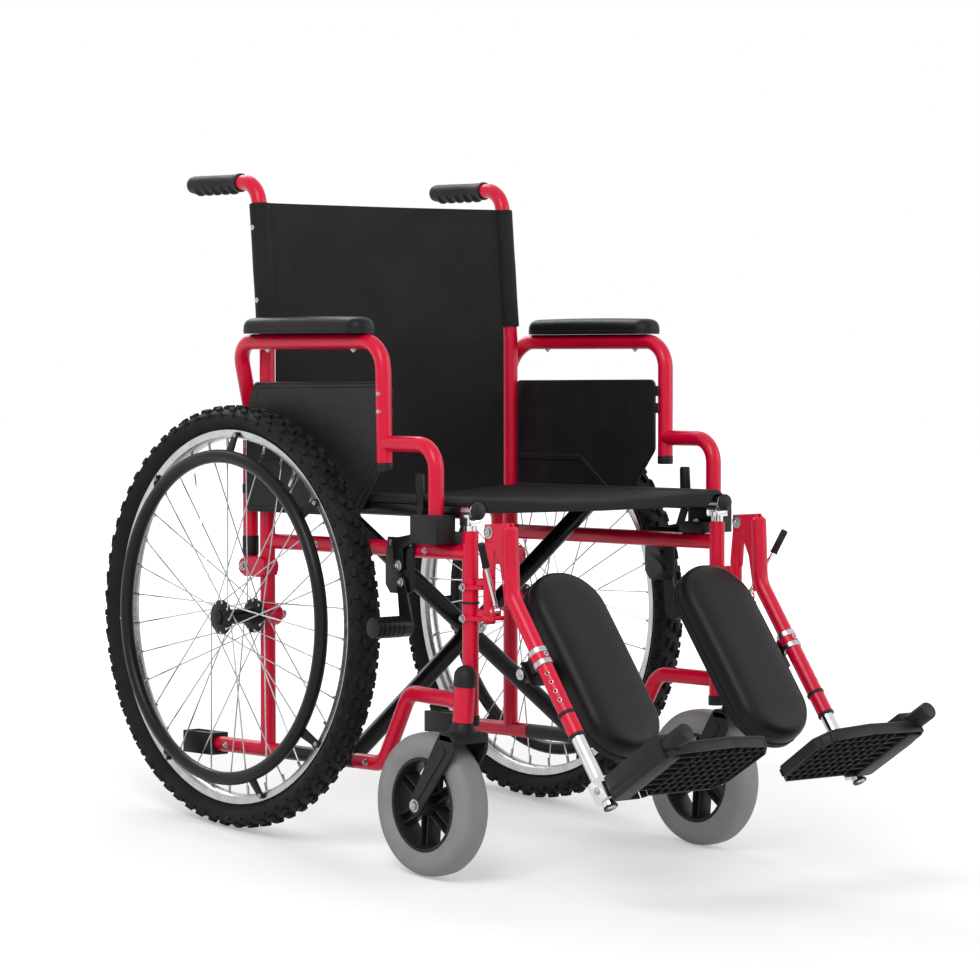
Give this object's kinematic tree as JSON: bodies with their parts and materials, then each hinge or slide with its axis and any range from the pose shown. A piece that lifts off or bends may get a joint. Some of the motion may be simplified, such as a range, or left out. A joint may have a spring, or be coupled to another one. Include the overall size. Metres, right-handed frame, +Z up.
{
  "type": "all-terrain wheelchair",
  "caption": "Folding manual wheelchair with knobbly rear tyres, push rings, flip-back arms, grey front casters and elevating legrests with calf pads.",
  "frame": {"origin": "on the floor, under the centre of the whole chair's bounding box", "axes": "+Z up, the chair faces -Y, +X is the occupant's left"},
  "size_m": [0.661, 1.186, 0.9368],
  "materials": {
    "red_paint": "gloss crimson powder coat",
    "black_paint": "satin black",
    "black_plastic": "moulded black plastic",
    "black_vinyl": "black padded vinyl and nylon",
    "tyre_rubber": "black knobbly tread",
    "grey_rubber": "mid-grey solid tyre",
    "silver": "polished",
    "chrome": "bright chrome"
  },
  "bodies": {
    "frame_right": {"side_frame_right": "red_paint", "upright_plug_right": "chrome", "push_grip_right": "black_plastic", "tipping_foot_right": "black_plastic", "rear_axle_right": "silver", "arm_socket_right": "black_plastic", "brake_bracket_right": "black_plastic", "back_sling": "black_vinyl"},
    "rear_wheel_right": {"rear_tyre_right": "tyre_rubber", "rear_rim_right": "silver", "rear_hub_right": "black_paint", "handrim_right": "black_paint"},
    "caster_swivel_right": {"caster_fork_right": "black_plastic"},
    "caster_roller_right": {"caster_tyre_right": "grey_rubber", "caster_wheel_right": "black_plastic"},
    "armrest_right": {"arm_frame_right": "red_paint", "arm_pad_right": "black_vinyl", "side_panel_right": "black_plastic"},
    "brake_handle_right": {"brake_lever_right": "black_plastic"},
    "brake_arm_right": {"brake_shoe_right": "black_paint"},
    "hanger_right": {"legrest_hanger_right": "red_paint"},
    "release_right": {"release_lever_right": "chrome"},
    "leg_right": {"legrest_tube_right": "red_paint"},
    "calf_rest_right": {"calf_bracket_right": "black_paint", "calf_pad_right": "black_vinyl"},
    "leg_slider_right": {"extension_tube_right": "chrome"},
    "foot_rest_right": {"footplate_right": "black_plastic"},
    "frame_left": {"side_frame_left": "red_paint", "upright_plug_left": "chrome", "push_grip_left": "black_plastic", "tipping_foot_left": "black_plastic", "rear_axle_left": "silver", "arm_socket_left": "black_plastic", "brake_bracket_left": "black_plastic"},
    "rear_wheel_left": {"rear_tyre_left": "tyre_rubber", "rear_rim_left": "silver", "rear_hub_left": "black_paint", "handrim_left": "black_paint"},
    "caster_swivel_left": {"caster_fork_left": "black_plastic"},
    "caster_roller_left": {"caster_tyre_left": "grey_rubber", "caster_wheel_left": "black_plastic"},
    "armrest_left": {"arm_frame_left": "red_paint", "arm_pad_left": "black_vinyl", "side_panel_left": "black_plastic"},
    "brake_handle_left": {"brake_lever_left": "black_plastic"},
    "brake_arm_left": {"brake_shoe_left": "black_paint"},
    "hanger_left": {"legrest_hanger_left": "red_paint"},
    "release_left": {"release_lever_left": "chrome"},
    "leg_left": {"legrest_tube_left": "red_paint"},
    "calf_rest_left": {"calf_bracket_left": "black_paint", "calf_pad_left": "black_vinyl"},
    "leg_slider_left": {"extension_tube_left": "chrome"},
    "foot_rest_left": {"footplate_left": "black_plastic"},
    "brace_a": {"cross_brace_right": "black_paint", "cross_bolt": "silver", "seat_sling": "black_vinyl", "rail_end_cap_left": "black_plastic"},
    "brace_b": {"cross_brace_left": "black_paint", "rail_end_cap_right": "black_plastic"}
  },
  "joints": [
    {"name": "fold", "type": "hinge", "parent": "frame_right", "child": "brace_a", "pos_m": [-0.2335, 0.08586, 0.12413], "axis": [0, -0.9966, 0.0825], "range_deg": [0, 32.5], "deforming": ["seat_sling", "back_sling"]},
    {"name": "fold_centre", "type": "hinge", "parent": "brace_a", "child": "brace_b", "pos_m": [0, 0.1007, 0.30332], "axis": [0, -0.9966, 0.0825], "range_deg": [-65, 0]},
    {"name": "fold_left", "type": "hinge", "parent": "brace_b", "child": "frame_left", "pos_m": [0.2335, 0.11576, 0.12166], "axis": [0, -0.9966, 0.0825], "range_deg": [0, 32.5]},
    {"name": "rear_wheel_spin_right", "type": "hinge", "parent": "frame_right", "child": "rear_wheel_right", "pos_m": [-0.2898, 0.2884, 0.30403], "axis": [1, 0, 0], "continuous": true},
    {"name": "caster_swivel_right", "type": "hinge", "parent": "frame_right", "child": "caster_swivel_right", "pos_m": [-0.2576, -0.1816, 0.2205], "axis": [0, 0, 1], "continuous": true},
    {"name": "caster_spin_right", "type": "hinge", "parent": "caster_swivel_right", "child": "caster_roller_right", "pos_m": [-0.2576, -0.1265, 0.09895], "axis": [1, 0, 0], "continuous": true},
    {"name": "armrest_flip_right", "type": "hinge", "parent": "frame_right", "child": "armrest_right", "pos_m": [-0.2385, 0.33004, 0.37062], "axis": [-1, 0, 0], "range_deg": [0, 90]},
    {"name": "brake_lever_right", "type": "hinge", "parent": "frame_right", "child": "brake_handle_right", "pos_m": [-0.2505, -0.02349, 0.41515], "axis": [-1, 0, 0], "range_deg": [0, 28]},
    {"name": "brake_shoe_right", "type": "hinge", "parent": "frame_right", "child": "brake_arm_right", "pos_m": [-0.2505, -0.03037, 0.39265], "axis": [1, 0, 0], "range_deg": [0, 15]},
    {"name": "legrest_swing_right", "type": "hinge", "parent": "frame_right", "child": "hanger_right", "pos_m": [-0.2335, -0.181, 0.36097], "axis": [0, -0.0825, -0.9966], "range_deg": [0, 85]},
    {"name": "legrest_release_right", "type": "hinge", "parent": "hanger_right", "child": "release_right", "pos_m": [-0.24, -0.21531, 0.37686], "axis": [1, 0, 0], "range_deg": [0, 18], "stiffness_Nm_per_rad": 0.3},
    {"name": "legrest_elevation_right", "type": "hinge", "parent": "hanger_right", "child": "leg_right", "pos_m": [-0.2345, -0.19312, 0.48118], "axis": [-1, 0, 0], "range_deg": [0, 55]},
    {"name": "calf_pad_swing_right", "type": "hinge", "parent": "leg_right", "child": "calf_rest_right", "pos_m": [-0.2345, -0.2976, 0.33385], "axis": [0, -0.6602, -0.7511], "range_deg": [0, 110]},
    {"name": "leg_length_right", "type": "slide", "parent": "leg_right", "child": "leg_slider_right", "axis": [0, -0.6602, -0.7511], "range_m": [-0.015, 0.045]},
    {"name": "footplate_flip_right", "type": "hinge", "parent": "leg_slider_right", "child": "foot_rest_right", "pos_m": [-0.228, -0.4627, 0.17622], "axis": [0, -0.7953, 0.6062], "range_deg": [0, 85]},
    {"name": "rear_wheel_spin_left", "type": "hinge", "parent": "frame_left", "child": "rear_wheel_left", "pos_m": [0.2898, 0.2884, 0.30403], "axis": [1, 0, 0], "continuous": true},
    {"name": "caster_swivel_left", "type": "hinge", "parent": "frame_left", "child": "caster_swivel_left", "pos_m": [0.2576, -0.1816, 0.2205], "axis": [0, 0, 1], "continuous": true},
    {"name": "caster_spin_left", "type": "hinge", "parent": "caster_swivel_left", "child": "caster_roller_left", "pos_m": [0.2576, -0.1265, 0.09895], "axis": [1, 0, 0], "continuous": true},
    {"name": "armrest_flip_left", "type": "hinge", "parent": "frame_left", "child": "armrest_left", "pos_m": [0.2385, 0.33004, 0.37062], "axis": [-1, 0, 0], "range_deg": [0, 90]},
    {"name": "brake_lever_left", "type": "hinge", "parent": "frame_left", "child": "brake_handle_left", "pos_m": [0.2505, -0.02349, 0.41515], "axis": [-1, 0, 0], "range_deg": [0, 28]},
    {"name": "brake_shoe_left", "type": "hinge", "parent": "frame_left", "child": "brake_arm_left", "pos_m": [0.2505, -0.03037, 0.39265], "axis": [1, 0, 0], "range_deg": [0, 15]},
    {"name": "legrest_swing_left", "type": "hinge", "parent": "frame_left", "child": "hanger_left", "pos_m": [0.2335, -0.181, 0.36097], "axis": [0, 0.0825, 0.9966], "range_deg": [0, 85]},
    {"name": "legrest_release_left", "type": "hinge", "parent": "hanger_left", "child": "release_left", "pos_m": [0.24, -0.21531, 0.37686], "axis": [1, 0, 0], "range_deg": [0, 18], "stiffness_Nm_per_rad": 0.3},
    {"name": "legrest_elevation_left", "type": "hinge", "parent": "hanger_left", "child": "leg_left", "pos_m": [0.2345, -0.19312, 0.48118], "axis": [-1, 0, 0], "range_deg": [0, 55]},
    {"name": "calf_pad_swing_left", "type": "hinge", "parent": "leg_left", "child": "calf_rest_left", "pos_m": [0.2345, -0.2976, 0.33385], "axis": [0, 0.6602, 0.7511], "range_deg": [0, 110]},
    {"name": "leg_length_left", "type": "slide", "parent": "leg_left", "child": "leg_slider_left", "axis": [0, -0.6602, -0.7511], "range_m": [-0.015, 0.045]},
    {"name": "footplate_flip_left", "type": "hinge", "parent": "leg_slider_left", "child": "foot_rest_left", "pos_m": [0.228, -0.4627, 0.17622], "axis": [0, 0.7953, -0.6062], "range_deg": [0, 85]}
  ],
  "couplings": [
    {"joint": "fold_centre", "follows": "fold", "ratio": -2},
    {"joint": "fold_left", "follows": "fold", "ratio": 1},
    {"joint": "brake_shoe_right", "follows": "brake_lever_right", "ratio": 0.53571},
    {"joint": "legrest_swing_right", "follows": "fold", "ratio": 2.6154},
    {"joint": "brake_shoe_left", "follows": "brake_lever_left", "ratio": 0.53571},
    {"joint": "legrest_swing_left", "follows": "fold", "ratio": 2.6154}
  ]
}
